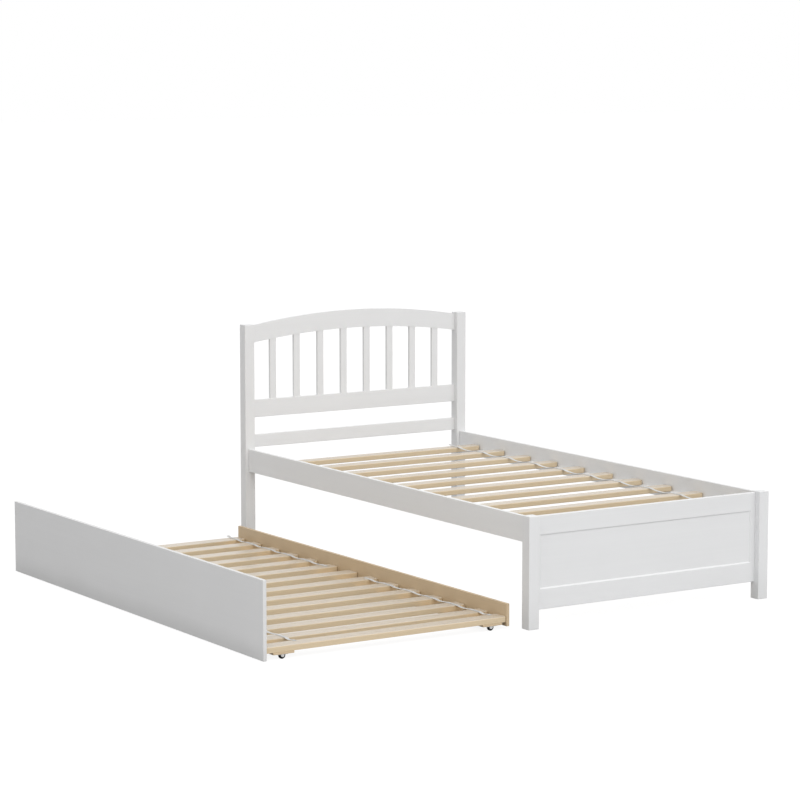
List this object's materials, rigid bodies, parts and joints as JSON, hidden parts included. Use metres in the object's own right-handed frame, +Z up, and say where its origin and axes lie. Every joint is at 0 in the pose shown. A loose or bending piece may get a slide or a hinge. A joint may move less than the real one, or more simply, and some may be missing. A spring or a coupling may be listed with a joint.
{
  "type": "trundle bed",
  "caption": "Single bed frame with arched spindle headboard, panel footboard and slatted base, and a low slatted trundle on casters that rolls out from underneath.",
  "frame": {"origin": "on the floor, under the middle of the whole object with the trundle rolled out", "axes": "+Z up; +X from the headboard to the footboard; -Y is the side the trundle rolls out on, +Y the wall side"},
  "size_m": [2.0084, 2.077, 0.9252],
  "materials": {
    "white_post": "satin white paint",
    "white_rail": "satin white paint",
    "white_spindle": "satin white paint",
    "white_board": "satin white paint",
    "white_panel": "satin white paint",
    "pine_slat": "bare planed pine",
    "pine_deck": "bare planed pine",
    "pine_rail": "bare planed pine",
    "pine_bearer": "bare planed pine",
    "webbing": "woven webbing",
    "bracket_grey": "moulded",
    "tyre_black": "matte"
  },
  "bodies": {
    "bed_frame": {"headboard_post_trundle_side": "white_post", "headboard_post_wall_side": "white_post", "footboard_post_trundle_side": "white_post", "footboard_post_wall_side": "white_post", "headboard_top_rail": "white_rail", "headboard_middle_rail": "white_rail", "headboard_lower_rail": "white_rail", "headboard_spindle_1": "white_spindle", "headboard_spindle_2": "white_spindle", "headboard_spindle_3": "white_spindle", "headboard_spindle_4": "white_spindle", "headboard_spindle_5": "white_spindle", "headboard_spindle_6": "white_spindle", "headboard_spindle_7": "white_spindle", "headboard_spindle_8": "white_spindle", "footboard": "white_board", "side_rail_trundle_side": "white_rail", "side_rail_wall_side": "white_rail", "bed_slat_01": "pine_slat", "bed_slat_02": "pine_slat", "bed_slat_03": "pine_slat", "bed_slat_04": "pine_slat", "bed_slat_05": "pine_slat", "bed_slat_06": "pine_slat", "bed_slat_07": "pine_slat", "bed_slat_08": "pine_slat", "bed_slat_09": "pine_slat", "bed_slat_10": "pine_slat", "bed_strap_trundle_side": "webbing", "bed_strap_wall_side": "webbing"},
    "trundle": {"trundle_front_panel": "white_panel", "trundle_back_rail": "pine_rail", "trundle_slat_01": "pine_deck", "trundle_slat_02": "pine_deck", "trundle_slat_03": "pine_deck", "trundle_slat_04": "pine_deck", "trundle_slat_05": "pine_deck", "trundle_slat_06": "pine_deck", "trundle_slat_07": "pine_deck", "trundle_slat_08": "pine_deck", "trundle_slat_09": "pine_deck", "trundle_slat_10": "pine_deck", "trundle_slat_11": "pine_deck", "trundle_slat_12": "pine_deck", "trundle_slat_13": "pine_deck", "trundle_slat_14": "pine_deck", "trundle_bearer_front": "pine_bearer", "trundle_bearer_back": "pine_bearer", "trundle_strap_front_head": "webbing", "trundle_strap_front_foot": "webbing", "trundle_strap_back_head": "webbing", "trundle_strap_back_foot": "webbing", "caster_bracket_front_head": "bracket_grey", "caster_bracket_front_foot": "bracket_grey", "caster_bracket_back_head": "bracket_grey", "caster_bracket_back_foot": "bracket_grey"},
    "wheel_front_head": {"caster_wheel_front_head": "tyre_black"},
    "wheel_front_foot": {"caster_wheel_front_foot": "tyre_black"},
    "wheel_back_head": {"caster_wheel_back_head": "tyre_black"},
    "wheel_back_foot": {"caster_wheel_back_foot": "tyre_black"}
  },
  "joints": [
    {"name": "trundle_slide", "type": "slide", "parent": "bed_frame", "child": "trundle", "axis": [0, 1, 0], "range_m": [0, 1.018]},
    {"name": "wheel_spin_front_head", "type": "hinge", "parent": "trundle", "child": "wheel_front_head", "pos_m": [-0.9305, -0.9578, 0.012], "axis": [1, 0, 0], "continuous": true},
    {"name": "wheel_spin_front_foot", "type": "hinge", "parent": "trundle", "child": "wheel_front_foot", "pos_m": [0.9305, -0.9578, 0.012], "axis": [1, 0, 0], "continuous": true},
    {"name": "wheel_spin_back_head", "type": "hinge", "parent": "trundle", "child": "wheel_back_head", "pos_m": [-0.9305, -0.1308, 0.012], "axis": [1, 0, 0], "continuous": true},
    {"name": "wheel_spin_back_foot", "type": "hinge", "parent": "trundle", "child": "wheel_back_foot", "pos_m": [0.9305, -0.1308, 0.012], "axis": [1, 0, 0], "continuous": true}
  ],
  "couplings": [
    {"joint": "wheel_spin_front_head", "follows": "trundle_slide", "rad_per_m": -83.333},
    {"joint": "wheel_spin_front_foot", "follows": "trundle_slide", "rad_per_m": -83.333},
    {"joint": "wheel_spin_back_head", "follows": "trundle_slide", "rad_per_m": -83.333},
    {"joint": "wheel_spin_back_foot", "follows": "trundle_slide", "rad_per_m": -83.333}
  ]
}
